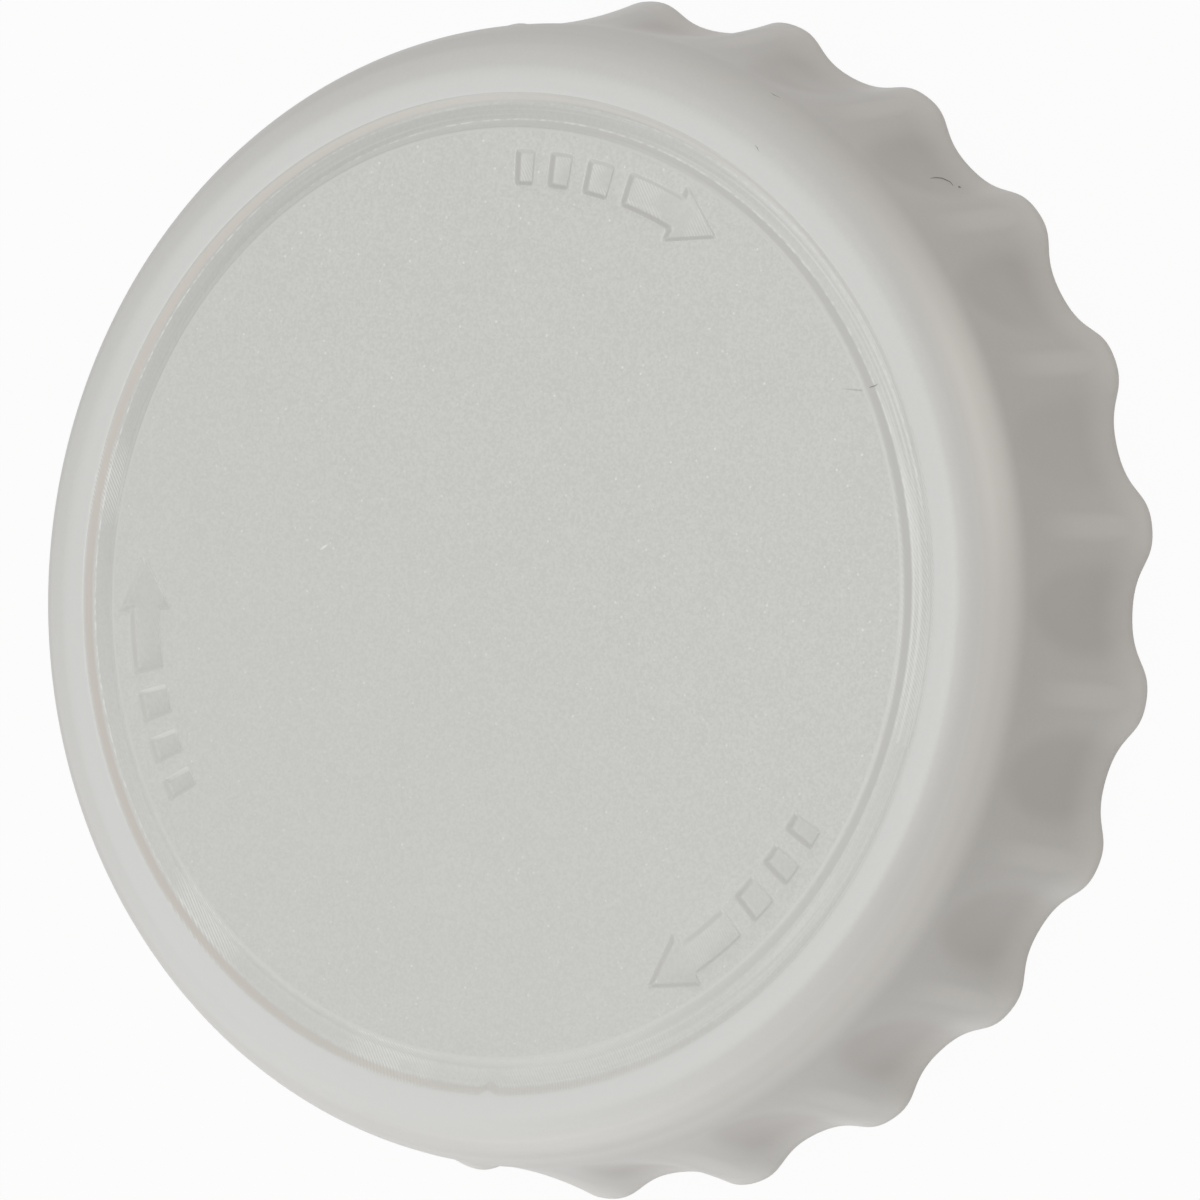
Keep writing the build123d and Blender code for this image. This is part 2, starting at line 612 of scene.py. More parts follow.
# %% Node groups
def new_group(name, inputs, outputs):
    """An empty node group with named float inputs and outputs."""
    group = bpy.data.node_groups.new(name, "ShaderNodeTree")
    for title, value in inputs.items():
        socket = group.interface.new_socket(title, in_out="INPUT", socket_type="NodeSocketFloat")
        socket.default_value = value
    for title in outputs:
        group.interface.new_socket(title, in_out="OUTPUT", socket_type="NodeSocketFloat")
    return group, group.nodes.new("NodeGroupInput"), group.nodes.new("NodeGroupOutput")


def use_group(tree, group, **values):
    """A group placed in a tree; underscores in the names stand for spaces."""
    return node(
        tree, "ShaderNodeGroup", node_tree=group,
        **{name.replace("_", " "): value for name, value in values.items()},
    )


# %% [markdown]
# ## The grain
#
# Fine noise is the grain's height and shade, single cells picked at random are
# painted glints of grains that flash, and a slow cloud keeps the plastic from
# looking painted.

# %% The grain group
grain, ins, outs = new_group(
    "spark_grain",
    {"Grains per mm": 4.2, "Flecks per mm": 2.6, "Fleck share": 0.06},
    ["Height", "Shade", "Fleck", "Cloud"],
)
grain_scale = maths(grain, "DIVIDE", ins.outputs["Grains per mm"], mm)
fleck_scale = maths(grain, "DIVIDE", ins.outputs["Flecks per mm"], mm)
fine = noise(grain, grain_scale, 1.6, Roughness=0.55)
grain.links.new(fine, outs.inputs["Height"])
grain.links.new(eased_range(grain, fine, 0.25, 0.75), outs.inputs["Shade"])

# A fleck, a painted glint, is the middle of a cell whose own random number is high enough
cells = node(grain, "ShaderNodeTexVoronoi", Vector=own_place(grain), Scale=fleck_scale)
chance = node(grain, "ShaderNodeSeparateColor", Color=cells.outputs["Color"])
least = maths(grain, "SUBTRACT", 1.0, ins.outputs["Fleck share"])
picked = maths(grain, "GREATER_THAN", chance.outputs[0], least)
spot = eased_range(grain, cells.outputs["Distance"], 0.34, 0.12)
grain.links.new(product(grain, picked, spot, chance.outputs[1]), outs.inputs["Fleck"])
grain.links.new(noise(grain, 220.0, 3.0, Roughness=0.6), outs.inputs["Cloud"])
print("grain group sockets:", [item.name for item in grain.interface.items_tree])

# %% [markdown]
# ## The cutter's traces
#
# The ridges in the mould that form the groove and the marks were milled after
# the face was eroded, so their floors are smoother and show the cutter's lines,
# a straight raster at 45 degrees that comes and goes. Two materials use it.

# %% The cutter's raster
raster, ins, outs = new_group(
    "cutter_raster", {"Lines per mm": 6.2, "Patchiness": 0.5}, ["Lines", "Patch"]
)
diagonal = 0.5**0.5
x, y, _ = node(raster, "ShaderNodeSeparateXYZ", Vector=own_place(raster)).outputs
across = product(raster, maths(raster, "ADD", x, y), diagonal)
slip = product(raster, noise(raster, 700.0, 1.0), 0.08 * mm)
slipped = maths(raster, "ADD", across, slip)
phase = product(raster, slipped, 2 * pi / mm, ins.outputs["Lines per mm"])
wave = maths(raster, "SINE", phase)
raster.links.new(eased_range(raster, wave, -0.6, 1.0), outs.inputs["Lines"])
over = maths(raster, "SUBTRACT", noise(raster, 420.0, 1.5), ins.outputs["Patchiness"])
raster.links.new(eased_range(raster, over, 0.0, 0.14), outs.inputs["Patch"])
print("raster group sockets:", [item.name for item in raster.interface.items_tree])

# %% [markdown]
# ## The plastic
#
# One warm off-white runs through the whole moulding. Every finish starts from
# it and only lightens or darkens it a little, for its grain, a few marks, and
# painted light and shade.

# %% The plastic
plastic = (0.63, 0.628, 0.605)
# A pale colour for painted glints and highlights, and for the pale scuff and streaks
pale_mark_and_highlight = (0.92, 0.92, 0.90, 1)
black = (0, 0, 0, 1)


def tinted(colour, factor):
    return (*[channel * factor for channel in colour], 1)


def mixed(tree, factor, first, second):
    """A colour between two, each of them a colour or a socket."""
    made = node(tree, "ShaderNodeMix", data_type="RGBA")
    for number, value in ((0, factor), (6, first), (7, second)):
        if isinstance(value, bpy.types.NodeSocket):
            tree.links.new(value, made.inputs[number])
        else:
            made.inputs[number].default_value = value
    return made.outputs[2]


def plastic_material(name, roughness):
    material = bpy.data.materials.new(name)
    material.use_nodes = True
    shader = material.node_tree.nodes["Principled BSDF"]
    shader.inputs["Roughness"].default_value = roughness
    shader.inputs["IOR"].default_value = 1.47
    return material, material.node_tree, shader


def set_colour(material, colour):
    tree = material.node_tree
    tree.links.new(colour, tree.nodes["Principled BSDF"].inputs["Base Color"])


def add_bump(tree, shader, height, depth):
    bumps = node(tree, "ShaderNodeBump", Height=height, Strength=1.0, Distance=depth)
    tree.links.new(bumps.outputs[0], shader.inputs["Normal"])


# %% [markdown]
# ## Where on the ring
#
# Painted light and shade and the tooling's traces depend on the place round the
# cap. A node group turns the object's own coordinates into a turn, from 0 to 1
# round the axis from +X, a distance from the axis, and a height over the lower edge.

# %% The place on the ring
ring_place, _, outs = new_group("ring_place", {}, ["Turn", "From axis", "Height"])
x, y, z = node(ring_place, "ShaderNodeSeparateXYZ", Vector=own_place(ring_place)).outputs
share = maths(ring_place, "DIVIDE", maths(ring_place, "ARCTAN2", y, x), 2 * pi)
ring_place.links.new(maths(ring_place, "WRAP", share, 1.0, 0.0), outs.inputs["Turn"])
x_square = product(ring_place, x, x)
square_sum = maths(ring_place, "MULTIPLY_ADD", y, y, x_square)
ring_place.links.new(maths(ring_place, "SQRT", square_sum), outs.inputs["From axis"])
ring_place.links.new(z, outs.inputs["Height"])
print("place group sockets:", [item.name for item in ring_place.interface.items_tree])

# %% Strengths round the ring
def around(tree, turn, strengths):
    """A strength that follows a list of (degrees from +X, strength) round the ring."""
    closed = [*strengths, (360, strengths[0][1])]
    ramp = tree.nodes.new("ShaderNodeValToRGB")
    stops = ramp.color_ramp.elements
    while len(stops) < len(closed):
        stops.new(1.0)
    for stop, (degrees, strength) in zip(stops, closed):
        stop.position = degrees / 360
        stop.color = (strength, strength, strength, 1)
    tree.links.new(turn, ramp.inputs["Fac"])
    return ramp.outputs["Color"]


# %% [markdown]
# ## Eroded disc, satin outside
#
# Only the disc inside the groove has the full grain. Rim, shoulder and skirt were
# rubbed down with fine stone, so they are satin with a trace of the same grain.
# Both finishes start with one function. The grain's shade and flecks are painted
# stronger towards one side, a painted glint, which a smooth ramp along that
# direction takes care of.

# %% The grained finishes
glint_side_x, glint_side_y = 0.38, 0.92  # the way to the side with stronger painted glint


def grained_finish(name, roughness, grains_per_mm, shade, glints, depth):
    """A material with the grain, and the colour that its shader gets."""
    material, tree, shader = plastic_material(name, roughness)
    group = use_group(
        tree, grain, Grains_per_mm=grains_per_mm, Flecks_per_mm=3.4, Fleck_share=0.1
    )
    # Painted glint: the grain's shade and flecks grow stronger towards one side
    x, y, _ = node(tree, "ShaderNodeSeparateXYZ", Vector=own_place(tree)).outputs
    toward_x, toward_y = product(tree, x, glint_side_x), product(tree, y, glint_side_y)
    toward_glint_side = maths(tree, "ADD", toward_x, toward_y)
    glint_strength = eased_range(tree, toward_glint_side, -18 * mm, 24 * mm, 0.7, 1.25)
    cloud = group.outputs["Cloud"]
    lighter = mixed(tree, cloud, tinted(plastic, 0.98), tinted(plastic, 1.01))
    darker = mixed(tree, cloud, tinted(plastic, 0.98 - shade), tinted(plastic, 1.01 - shade))
    even = mixed(tree, 0.5, darker, lighter)
    grained = mixed(tree, group.outputs["Shade"], darker, lighter)
    shaded = mixed(tree, glint_strength, even, grained)
    # Flecks: painted glints of single grains
    glint_share = product(tree, group.outputs["Fleck"], glint_strength, glints)
    glinted = mixed(tree, glint_share, shaded, pale_mark_and_highlight)
    set_colour(material, glinted)
    add_bump(tree, shader, group.outputs["Height"], depth)
    return material, glinted


# %% Disc and outside
eroded, eroded_colour = grained_finish(
    "spark_eroded_disc", roughness=0.5, grains_per_mm=6, shade=0.1, glints=0.4, depth=0.016 * mm
)
satin, satin_colour = grained_finish(
    "satin_outside", roughness=0.45, grains_per_mm=4.5, shade=0.03, glints=0.08, depth=0.008 * mm
)
print("grained finishes:", eroded.name, "and", satin.name)

# %% [markdown]
# ## A scuff and a smear
#
# Two traces lie flat on the disc: a pale scuff half a millimetre long, and the
# faint end of a hair that crosses the groove's edge. Each is a soft oval in the
# disc's colour, placed and turned by a Mapping node.

# %% Traces on the disc
def soft_oval(tree, middle, turn, half_length, half_width):
    """1 in the middle of an oval and 0 from its rim outwards; sizes in millimetres."""
    local = node(
        tree, "ShaderNodeMapping", vector_type="TEXTURE", Vector=own_place(tree),
        Location=(middle[0] * mm, middle[1] * mm, height), Rotation=(0, 0, radians(turn)),
        Scale=(half_length * mm, half_width * mm, half_width * mm),
    )
    near = local.outputs["Vector"]
    ball = node(tree, "ShaderNodeTexGradient", gradient_type="SPHERICAL", Vector=near)
    return eased_range(tree, ball.outputs["Fac"], 0.0, 0.5)


hair = (0.2, 0.19, 0.18, 1)
tree = eroded.node_tree
scuff = product(tree, soft_oval(tree, (-11.22, -1.01), 49, 0.32, 0.08), 0.5)
smear = product(tree, soft_oval(tree, (17.4, 16.58), 13, 0.95, 0.055), 0.32)
scuffed = mixed(tree, scuff, eroded_colour, pale_mark_and_highlight)
set_colour(eroded, mixed(tree, smear, scuffed, hair))
print("traces on the disc: a scuff and a smear")

# %% [markdown]
# ## Painted shade and light on the flutes
#
# A warm painted shade lies thinly on the skirt and is strongest in the valleys,
# where it forms a rounded patch. Painted light lifts the lower edge, the crests,
# and the place where the shoulder turns into the skirt, which shows as a pale
# warm band on one side. The patch is a long oval in turn and height, repeated
# for each valley, and slow noise makes some of them fainter. The flat rim and
# one side get a pale painted sheen, and the hollow has no painted shade. From
# the rim down to the skirt the painted shade gathers in two bands, on the brow
# of the shoulder and under it, each with its own share for every turn.

# %% Shares of painted shade, light and sheen by turn
# Shares of painted shade on the skirt, on the shoulder's brow and under it, by turn
skirt_shade_places = [
    (0, 0.34), (25, 0.48), (45, 0.48), (70, 0.38), (110, 0.25), (170, 0.15), (240, 0.05),
    (290, 0.25), (330, 0.34),
]
brow_shade_places = [
    (0, 0.65), (15, 0.6), (32, 0.48), (45, 0.25), (70, 0.15), (100, 0.2), (130, 0.28),
    (180, 0.12), (225, 0.22), (265, 0.04), (285, 0.02), (310, 0.24), (345, 0.7),
]
shoulder_shade_places = [
    (0, 0.66), (35, 0.72), (55, 0.42), (70, 0.25), (100, 0.37), (125, 0.54), (160, 0.38),
    (200, 0.6), (220, 0.52), (245, 0.15), (265, 0.15), (280, 0.34), (300, 0.72),
]
# Painted light on the shoulder's turn into the skirt, by turn
turn_light_places = [
    (0, 0.45), (18, 0.6), (28, 0.9), (42, 0.9), (54, 0.5), (66, 0.2), (180, 0.05), (300, 0.3)
]
# Where the pale painted sheen is absent, by turn
unsheened_places = [
    (0, 1.0), (80, 0.9), (130, 0.8), (190, 0.85), (240, 0.15), (280, 0.4), (330, 1.0)
]
print("stops for the skirt's film:", len(skirt_shade_places))

# %% Where the painted shade lies
def between(tree, value, start, full, ease, end):
    """1 from full to ease, falling smoothly to 0 at start and at end."""
    rise = eased_range(tree, value, start, full)
    return product(tree, rise, eased_range(tree, value, end, ease))


tree = satin.node_tree
at_ring = use_group(tree, ring_place).outputs
turn, from_axis, level = at_ring["Turn"], at_ring["From axis"], at_ring["Height"]
beyond_wall = eased_range(tree, from_axis, 28.9 * mm, 29.6 * mm)
above_hollow = eased_range(tree, level, ceiling, ceiling + 0.4 * mm)
outside = maths(tree, "MAXIMUM", beyond_wall, above_hollow)
on_skirt = eased_range(tree, level, height, height - 0.5 * mm)
skirt_shade_share = product(tree, on_skirt, around(tree, turn, skirt_shade_places))
brow_levels = [height - depth * mm for depth in (0.02, 0.12, 0.5, 1.1)]
shoulder_levels = [height - depth * mm for depth in (0.3, 0.8, 1.4, 2.2)]
on_brow = between(tree, level, *brow_levels)
on_shoulder = between(tree, level, *shoulder_levels)
brow_shade_share = product(tree, on_brow, around(tree, turn, brow_shade_places))
shoulder_shade_share = product(tree, on_shoulder, around(tree, turn, shoulder_shade_places))
round_shade_share = maths(tree, "MAXIMUM", brow_shade_share, shoulder_shade_share)
# The share of painted shade
shade_share = product(tree, outside, maths(tree, "MAXIMUM", skirt_shade_share, round_shade_share))
print("film's levels in mm:", [round(a / mm, 2) for a in brow_levels + shoulder_levels])

# %% Painted shade in the valleys
# Painted shade in each flute's valley: a long oval in turn and height
valley_shade_level, valley_shade_reach = 4.4 * mm, 7 * mm
wave = maths(tree, "COSINE", product(tree, turn, 2 * pi * flute_count))
off_level = maths(tree, "DIVIDE", maths(tree, "SUBTRACT", level, valley_shade_level), valley_shade_reach)
drop = product(tree, off_level, off_level)
oval = maths(tree, "SUBTRACT", product(tree, wave, 0.5), drop)
valley = eased_range(tree, oval, -0.32, 0.2)
kept = eased_range(tree, noise(tree, 110.0, 2.0), 0.3, 0.62, 0.35, 0.95)
valley_shade_share = product(tree, valley, kept, beyond_wall)
print("patches:", flute_count)

# %% Where painted light lifts the colour
# Painted light on the crests, the lower edge and the shoulder's turn
crest = eased_range(tree, wave, -0.8, -1.0)
down_crest = eased_range(tree, level, skirt_top, 5 * mm, 0.0, 0.4)
crest_light = product(tree, crest, down_crest)
edge_light = eased_range(tree, level, 3.6 * mm, 0.2 * mm, 0.0, 0.6)
turn_band = between(tree, level, 10.1 * mm, 11.5 * mm, 12.1 * mm, 13.2 * mm)
turn_light = product(tree, turn_band, around(tree, turn, turn_light_places))
low_light = maths(tree, "MAXIMUM", edge_light, crest_light)
painted_light_share = product(tree, outside, maths(tree, "MAXIMUM", low_light, turn_light))

# %% The colours of painted shade, light and sheen
# A warm painted shade
painted_shade = (0.52, 0.501, 0.482, 1)
# A pale painted light
painted_light_colour = (0.71, 0.695, 0.665, 1)
# A pale painted sheen on the rim and one side
sheen_colour = (0.67, 0.668, 0.658, 1)
off_the_rim = eased_range(tree, from_axis, 27.1 * mm, 28.0 * mm, 0.5, 1.0)
unsheened_round = product(tree, around(tree, turn, unsheened_places), off_the_rim)
inner_margin = eased_range(tree, from_axis, 26.0 * mm, 25.5 * mm)
never_sheened = maths(tree, "MAXIMUM", on_shoulder, inner_margin)
unsheened = maths(tree, "MAXIMUM", unsheened_round, never_sheened)
# The painted sheen shows where this share is low
sheened = mixed(tree, unsheened, sheen_colour, satin_colour)
# Painted shade on the skirt and the shoulder
with_painted_shade = mixed(tree, shade_share, sheened, painted_shade)
# Painted shade in the valleys
with_valley_shade = mixed(tree, valley_shade_share, with_painted_shade, painted_shade)
# Painted light over the rest
set_colour(satin, mixed(tree, painted_light_share, with_valley_shade, painted_light_colour))
print("nodes in the satin finish:", len(tree.nodes))

# %% [markdown]
# ## The sunk floors
#
# The marks' floors get a little painted shade, so they are nearly as light as
# the face, and their leaning walls get more painted shade, so they look darker.
# The walls are found by their slope: the further the normal leans from +Z, the
# more wall. The mark near 200 degrees has the most painted shade on its floor,
# and its walls are painted a little lighter than its floor. Where the cutter's
# raster shows, its lines get a painted glint.

# %% What milled finishes share
def slope(tree):
    """0 on level surfaces and 1 on the leaning walls."""
    normal = node(tree, "ShaderNodeTexCoord").outputs["Normal"]
    upright = node(tree, "ShaderNodeSeparateXYZ", Vector=normal).outputs[2]
    return eased_range(tree, upright, 0.97, 0.78)


def milled_finish(name, places, patchiness):
    """A milled material with its raster, whose lines get a painted glint in places, and what its
    colours need.
    """
    material, tree, shader = plastic_material(name, roughness=0.42)
    at_ring = use_group(tree, ring_place).outputs
    group = use_group(tree, grain, Grains_per_mm=5.0).outputs
    lines = use_group(tree, raster, Lines_per_mm=6.2, Patchiness=patchiness).outputs
    # The raster's lines get a painted glint in the given places
    shown = product(tree, lines["Patch"], around(tree, at_ring["Turn"], places))
    patch = product(tree, lines["Lines"], shown)
    half_grain = product(tree, group["Height"], 0.5)
    relief = maths(tree, "ADD", half_grain, product(tree, patch, 0.3))
    add_bump(tree, shader, relief, 0.012 * mm)
    return material, at_ring, group["Shade"], patch


# %% The marks' finish
# Where the raster's painted glint shows, and where painted shade lies, by turn
mark_raster_glint_places = [(0, 0.3), (60, 0.8), (110, 1.0), (150, 0.1), (240, 0.1), (310, 0.3)]
mark_shade_places = [(0, 0.7), (50, 1.0), (110, 1.0), (170, 0.15), (230, 0.15), (310, 0.7)]
mark_finish, at_ring, shade, patch = milled_finish("milled_mark", mark_raster_glint_places, patchiness=0.44)
tree = mark_finish.node_tree
# Painted shade: high shares darken the walls, low ones the floor
mark_shade = around(tree, at_ring["Turn"], mark_shade_places)
plain = mixed(tree, mark_shade, tinted(plastic, 0.92), tinted(plastic, 0.98))
darker = mixed(tree, 0.05, plain, black)
shaded = mixed(tree, shade, darker, plain)
# Painted glint on the raster's lines
lined = mixed(tree, product(tree, patch, 0.26), shaded, pale_mark_and_highlight)
# Walls with painted shade, painted lighter where the share is low
painted_wall = mixed(tree, mark_shade, tinted(plastic, 1.02), tinted(plastic, 0.89))
set_colour(mark_finish, mixed(tree, slope(tree), lined, painted_wall))
print("nodes in the marks' finish:", len(tree.nodes))

# %% [markdown]
# ## The groove's finish
#
# In the groove the raster shows in a few places only, with a painted glint on
# its lines, and the two corners of its floor get thin painted highlights that
# break up into beads. The floor gets a painted reflection, darker on one side.
# The inner wall gets painted shade on one side; the outer wall gets painted
# shade on one side and warm painted light on the other.

# %% The groove's strengths by turn
# Strengths of the floor's painted reflection, by turn
floor_light_places = [
    (0, 0.67), (10, 0.7), (20, 0.5), (30, 0.63), (40, 0.85), (55, 0.93), (65, 0.84), (80, 0.54),
    (90, 0.43), (110, 0.26), (125, 0.11), (145, 0.08), (160, 0.14), (180, 0.27), (200, 0.5),
    (215, 0.7), (230, 0.87), (260, 0.85), (280, 0.92), (300, 0.8), (320, 0.63), (340, 0.74),
]
# Painted light and shade on the outer wall, by turn
outer_wall_light_places = [
    (0, 0.5), (30, 0.3), (80, 0.3), (120, 0.0), (170, 0.0), (190, 0.37), (205, 0.67),
    (230, 1.0), (290, 1.0), (345, 0.8),
]
# Where the raster's lines get a painted glint, by turn
groove_raster_glint_places = [
    (0, 0.1), (6, 0.5), (30, 0.45), (36, 0.05), (178, 0.05), (182, 0.9), (186, 0.9),
    (190, 0.05), (234, 0.1), (237, 1.0), (245, 1.0), (248, 0.05), (266, 0.1), (269, 0.9),
    (276, 0.8), (280, 0.05), (296, 0.4), (309, 0.4), (314, 0.05),
]
# Painted highlights along the floor's corners, by turn
inner_line_places = [
    (0, 0.15), (22, 0.25), (32, 0.75), (80, 0.9), (120, 0.8), (160, 0.2), (240, 0.0), (345, 0.15)
]
outer_line_places = [
    (0, 0.2), (22, 0.3), (32, 0.6), (120, 0.25), (165, 0.9), (215, 0.9), (240, 0.4), (252, 0.1)
]
# Painted shade on the inner wall, by turn
inner_wall_shade_places = [
    (0, 1.0), (70, 0.9), (110, 0.35), (160, 0.0), (240, 0.1), (300, 0.6), (340, 1.0)
]
# Warm painted light on the outer wall, by turn
warm_light_places = [(0, 0.0), (50, 0.15), (90, 0.5), (160, 1.0), (245, 1.0), (290, 0.5), (330, 0.0)]
turned_places = [(0, 0.4), (25, 0.6), (60, 0.55), (110, 0.35), (150, 0.1), (230, 0.0), (300, 0.15)]
print("stops round the floor:", len(floor_light_places))

# %% Painted highlights at the floor's corners
line_width = 0.16 * mm
inner_radius, outer_radius = floor_in - 0.02 * mm, floor_out - 0.1 * mm


def ring_line(tree, at_ring, radius, places):
    """A soft-edged line at a radius, with its strengths round the ring."""
    off = maths(tree, "ABSOLUTE", maths(tree, "SUBTRACT", at_ring["From axis"], radius))
    soft_line = eased_range(tree, off, line_width / 2, 0.0)
    return product(tree, soft_line, around(tree, at_ring["Turn"], places))


groove_finish, at_ring, shade, patch = milled_finish(
    "turned_groove", groove_raster_glint_places, patchiness=0.25
)
tree, turn, from_axis = groove_finish.node_tree, at_ring["Turn"], at_ring["From axis"]
beads = eased_range(tree, noise(tree, 2600.0, 0.0), 0.35, 0.72, 0.3, 1.3)
# Painted highlights: thin light lines along the floor's corners
inner_line = ring_line(tree, at_ring, inner_radius, inner_line_places)
outer_line = ring_line(tree, at_ring, outer_radius, outer_line_places)
corner_highlights = product(tree, maths(tree, "MAXIMUM", inner_line, outer_line), beads)
print("burnished radii in mm:", round(inner_radius / mm, 2), round(outer_radius / mm, 2))

# %% Turned traces
# Noise on the unrolled ring, squeezed along the turn, draws out into long streaks
squeezed = product(tree, turn, 2 * mm)
unrolled = node(tree, "ShaderNodeCombineXYZ", X=from_axis, Y=squeezed).outputs[0]
turned = eased_range(tree, noise(tree, 4200.0, 1.0, Vector=unrolled), 0.42, 0.66)
turned_share = product(tree, turned, around(tree, turn, turned_places))

# %% Painted shade on the inner wall and warm painted light on the outer wall
wall = slope(tree)
outward = eased_range(tree, from_axis, floor_in, floor_out)
inward = maths(tree, "SUBTRACT", 1.0, outward)
# Painted shade on the inner wall
inner_wall_shade = product(tree, inward, around(tree, turn, inner_wall_shade_places))
# Warm painted light on the outer wall
warm_light = product(tree, outward, around(tree, turn, warm_light_places))
warm_light_colour = (0.625, 0.592, 0.548, 1)

# %% The groove's colour
# The floor's painted reflection: darker on one side
floor_light_and_shade = mixed(
    tree, around(tree, turn, floor_light_places), tinted(plastic, 0.8), tinted(plastic, 1.02)
)
# Painted light and shade on the outer wall
outer_wall_light_and_shade = mixed(
    tree, around(tree, turn, outer_wall_light_places), tinted(plastic, 0.89), tinted(plastic, 1.04)
)
wall_shade = mixed(tree, outward, tinted(plastic, 0.99), outer_wall_light_and_shade)
bare = mixed(tree, wall, floor_light_and_shade, wall_shade)
dimmed = mixed(tree, product(tree, shade, 0.05), bare, black)
streaked = mixed(tree, product(tree, turned_share, 0.5), dimmed, pale_mark_and_highlight)
# Painted glint on the raster's lines
lined = mixed(tree, product(tree, patch, 0.4), streaked, pale_mark_and_highlight)
# Painted shade on the inner wall
inner_wall_shaded = mixed(tree, product(tree, wall, inner_wall_shade), lined, tinted(plastic, 0.915))
# Warm painted light on the outer wall
warm_lit = mixed(tree, product(tree, wall, warm_light), inner_wall_shaded, warm_light_colour)
# Painted highlights along the floor's corners
painted_highlights = product(tree, corner_highlights, 0.45)
set_colour(groove_finish, mixed(tree, painted_highlights, warm_lit, pale_mark_and_highlight))
print("nodes in the groove's finish:", len(tree.nodes))

# %% [markdown]
# ## Lint
#
# A few dark fibres cling to the cap: one lies curled in a flute's valley with a
# speck beside it, one hangs over the groove's inner edge, and two are mere scraps
# near the shoulder. Each is a thin tube drawn through points on the skin, half sunk
# in it, with pointed ends.

# %% The threads
lint_threads = [
    [(13.29, 27.29, 4.87), (13.23, 27.34, 4.2), (13.28, 27.36, 3.66), (13.61, 27.27, 3.32),
     (13.94, 27.17, 3.48)],
    [(14.13, 27.17, 3.25), (14.15, 27.16, 3.16), (14.17, 27.15, 3.07)],
    [(17.93, 16.75, 13.36), (18.1, 16.96, 13.2), (18.24, 17.08, 13.07), (18.36, 17.21, 13.05)],
    [(6.13, 29.45, 10.95), (6.38, 29.39, 10.99), (6.74, 29.35, 10.85)],
    [(7.48, 26.85, 13.31), (7.68, 26.74, 13.32), (7.85, 26.58, 13.34)],
]
thread_radii = [0.034, 0.06, 0.022, 0.02, 0.017]
print("threads:", len(lint_threads))

# %% Tubes along the threads
sides = 6
thin_end = 0.3  # share of the radius at both ends
leaning = Vector((0.3, 0.2, 0.9))  # along no thread
lint_points, lint_faces = [], []
for thread, thickness in zip(lint_threads, thread_radii):
    start = len(lint_points)
    line = [Vector(p) * mm for p in thread]
    for number, middle in enumerate(line):
        along = (line[min(number + 1, len(line) - 1)] - line[max(number - 1, 0)]).normalized()
        aside = along.cross(leaning).normalized()
        at_end = number in (0, len(line) - 1)
        thread_radius = thickness * mm * (thin_end if at_end else 1.0)
        for side in range(sides):
            turn = 2 * pi * side / sides
            spread = cos(turn) * aside + sin(turn) * along.cross(aside)
            lint_points.append(middle + thread_radius * spread)
    for row in range(len(line) - 1):
        first = start + row * sides
        for side in range(sides):
            a, b = first + side, first + (side + 1) % sides
            lint_faces.append((a, b, b + sides, a + sides))
    last = start + (len(line) - 1) * sides
    lint_faces.append(tuple(range(start + sides - 1, start - 1, -1)))
    lint_faces.append(tuple(range(last, last + sides)))
lint = make_piece("lint", lint_points, lint_faces)
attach(lint, "root")
print("lint:", len(lint_faces), "faces")

# %% The lint's finish
lint_finish, tree, _ = plastic_material("grey_lint", roughness=0.8)
dark_lint, light_lint = (0.19, 0.175, 0.16, 1), (0.34, 0.32, 0.30, 1)
set_colour(lint_finish, mixed(tree, noise(tree, 4000.0, 1.0), dark_lint, light_lint))
lint.data.materials.append(lint_finish)

# %% Which piece wears what
for material in (eroded, satin, groove_finish, mark_finish):
    cap.data.materials.append(material)
cap.data.polygons.foreach_set("material_index", finishes)
for piece in bpy.context.scene.objects:
    if piece.name.startswith(("cork_socket", "rib_")):
        piece.data.materials.append(satin)
print("finishes:", [material.name for material in cap.data.materials])

# %% [markdown]
# ## The studio
#
# The cap stands on plain white paper in a light tent: soft light from all
# round, a little stronger from three sides, so that the skirt's flutes read. The
# camera sees the tent as plain white, and the paper keeps the cap's faint shadow.

# %% Seen as white
def seen_directly(tree):
    """1 for rays that show the background itself: to the camera or in a gloss."""
    rays = tree.nodes.new("ShaderNodeLightPath").outputs
    shown = maths(tree, "MAXIMUM", rays["Is Camera Ray"], rays["Is Glossy Ray"])
    return maths(tree, "MAXIMUM", shown, rays["Is Transmission Ray"])


def show_white(tree, shader, white, share, output):
    """Lets direct rays see white in place of a shader, by a share."""
    both = node(tree, "ShaderNodeMixShader")
    seen = product(tree, seen_directly(tree), share)
    tree.links.new(seen, both.inputs["Fac"])
    tree.links.new(shader.outputs[0], both.inputs[1])
    tree.links.new(white.outputs[0], both.inputs[2])
    tree.links.new(both.outputs[0], tree.nodes[output].inputs["Surface"])


# %% The paper
reach = 1.5
paper_level = -0.02 * mm
floor_mesh = bpy.data.meshes.new("table")
corners = [(reach, reach), (-reach, reach), (-reach, -reach), (reach, -reach)]
floor_mesh.from_pydata([(x, y, paper_level) for x, y in corners], [], [(0, 1, 2, 3)])
table = bpy.data.objects.new("table", floor_mesh)
bpy.context.scene.collection.objects.link(table)
print("paper:", 2 * reach, "m wide")

# %% The paper's finish
paper = bpy.data.materials.new("white_paper")
paper.use_nodes = True
tree = paper.node_tree
paper_shader = tree.nodes["Principled BSDF"]
paper_shader.inputs["Roughness"].default_value = 0.9
dark_fibre, light_fibre = (0.49, 0.485, 0.47, 1), (0.51, 0.505, 0.49, 1)
set_colour(paper, mixed(tree, noise(tree, 900.0, 3.0), dark_fibre, light_fibre))
white = node(tree, "ShaderNodeEmission", Strength=1.0)
white_share = 0.95  # the rest is the paper with the cap's shadow
show_white(tree, paper_shader, white, white_share, "Material Output")
floor_mesh.materials.append(paper)

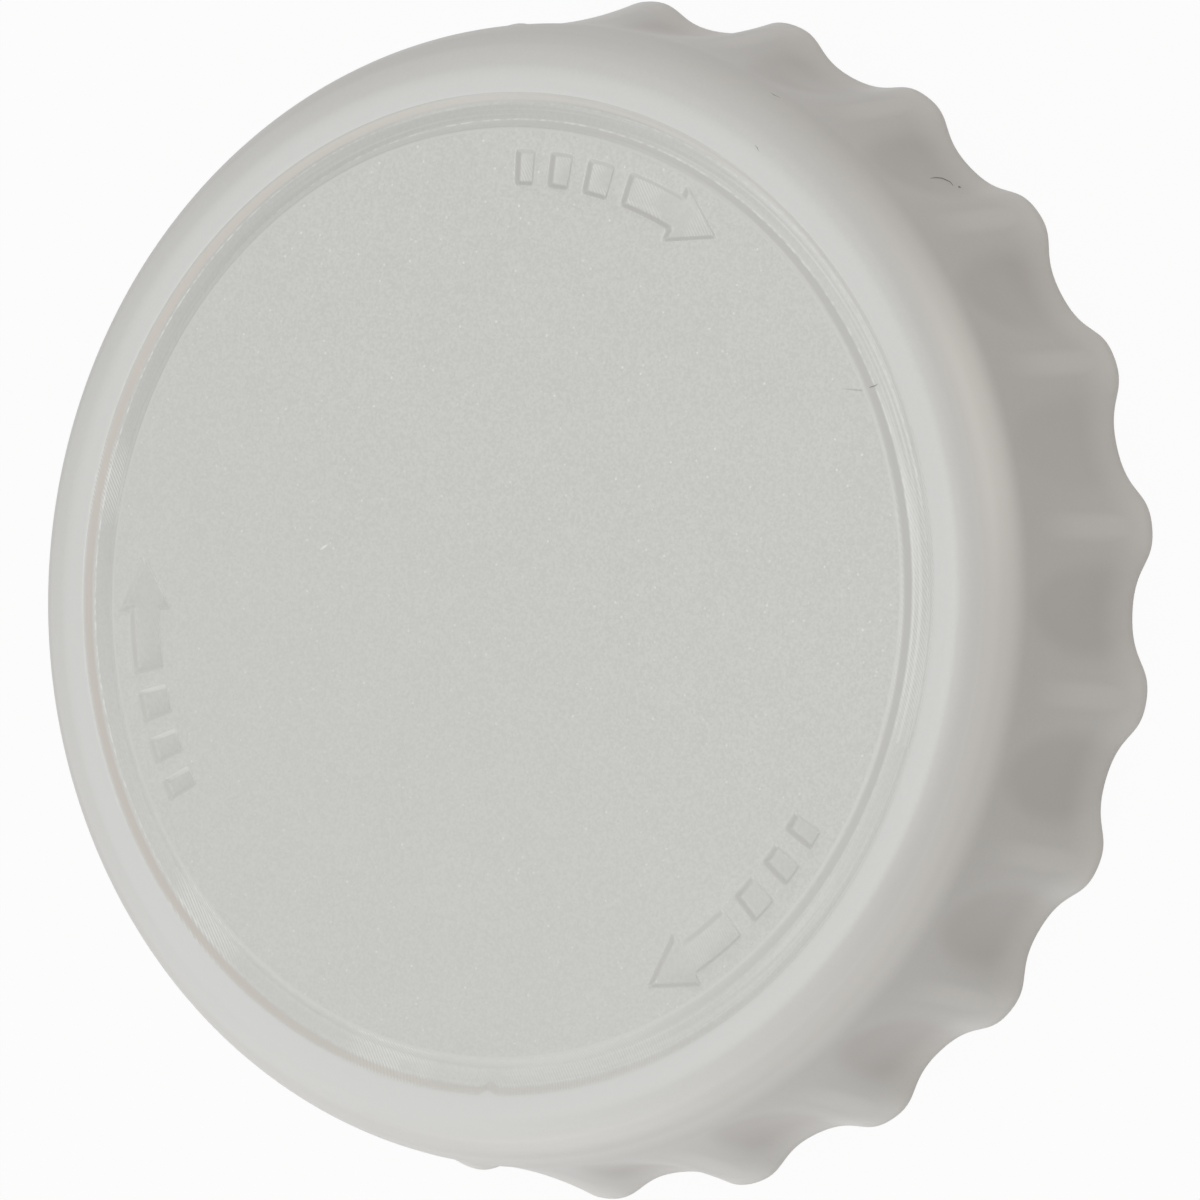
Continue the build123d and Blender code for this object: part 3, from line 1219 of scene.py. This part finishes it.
# %% The tent
world = bpy.data.worlds.new("light_tent")
bpy.context.scene.world = world
world.use_nodes = True
tree = world.node_tree
tent_light = tree.nodes["Background"]
tent_light.inputs["Color"].default_value = (1.0, 0.965, 0.965, 1)
tent_light.inputs["Strength"].default_value = 0.53
tent_white = node(tree, "ShaderNodeBackground", Color=(1, 1, 1, 1), Strength=1.0)
show_white(tree, tent_light, tent_white, 1.0, "World Output")
print("tent:", round(tent_light.inputs["Strength"].default_value, 2), "of white")

# %% Lamps
lamp_distance, lamp_size = 0.5, 0.22  # metres


def soft_lamp(name, azimuth, elevation, power, colour):
    """A square lamp that faces the cap; its turn and height are in degrees."""
    data = bpy.data.lights.new(name, "AREA")
    data.shape = "SQUARE"
    data.size = lamp_size
    data.energy = power
    data.color = colour
    lamp = bpy.data.objects.new(name, data)
    bpy.context.scene.collection.objects.link(lamp)
    a, e = radians(azimuth), radians(elevation)
    lamp.location = lamp_distance * Vector((cos(e) * cos(a), cos(e) * sin(a), sin(e)))
    lamp.rotation_euler = lamp.location.to_track_quat("Z", "Y").to_euler()


soft_lamp("top_lamp", 0, 90, 0.92, (0.94, 1.0, 0.99))
soft_lamp("low_side_lamp", -90, 8, 0.69, (1.0, 1.0, 0.995))
soft_lamp("far_side_lamp", 45, 8, 0.16, (1.0, 0.8, 0.6))
print("lamps:", len(bpy.data.lights))

# %% [markdown]
# ## The camera
#
# A long lens from above and to one side flattens the ring a little, as the eye
# sees it at arm's length. The camera is rolled so that +Y points nearly upwards.

# %% The camera
aim = Vector((6.09 * mm, 1.57 * mm, height))
azimuth, elevation, roll = radians(15.28), radians(58.33), radians(-87.13)
distance = 0.6014
back = Vector((cos(elevation) * cos(azimuth), cos(elevation) * sin(azimuth), sin(elevation)))
level_right = Vector((-sin(azimuth), cos(azimuth), 0))
level_up = back.cross(level_right)
right = cos(roll) * level_right + sin(roll) * level_up
up = cos(roll) * level_up - sin(roll) * level_right
lens = bpy.data.cameras.new("camera")
lens.lens = 344.8
lens.sensor_width = 36
camera = bpy.data.objects.new("camera", lens)
camera.matrix_world = Matrix((right, up, back)).transposed().to_4x4()
camera.location = aim + distance * back
bpy.context.scene.collection.objects.link(camera)
bpy.context.scene.camera = camera
bpy.context.scene.view_settings.view_transform = "Standard"
print("camera in mm:", [round(side / mm, 1) for side in camera.location])
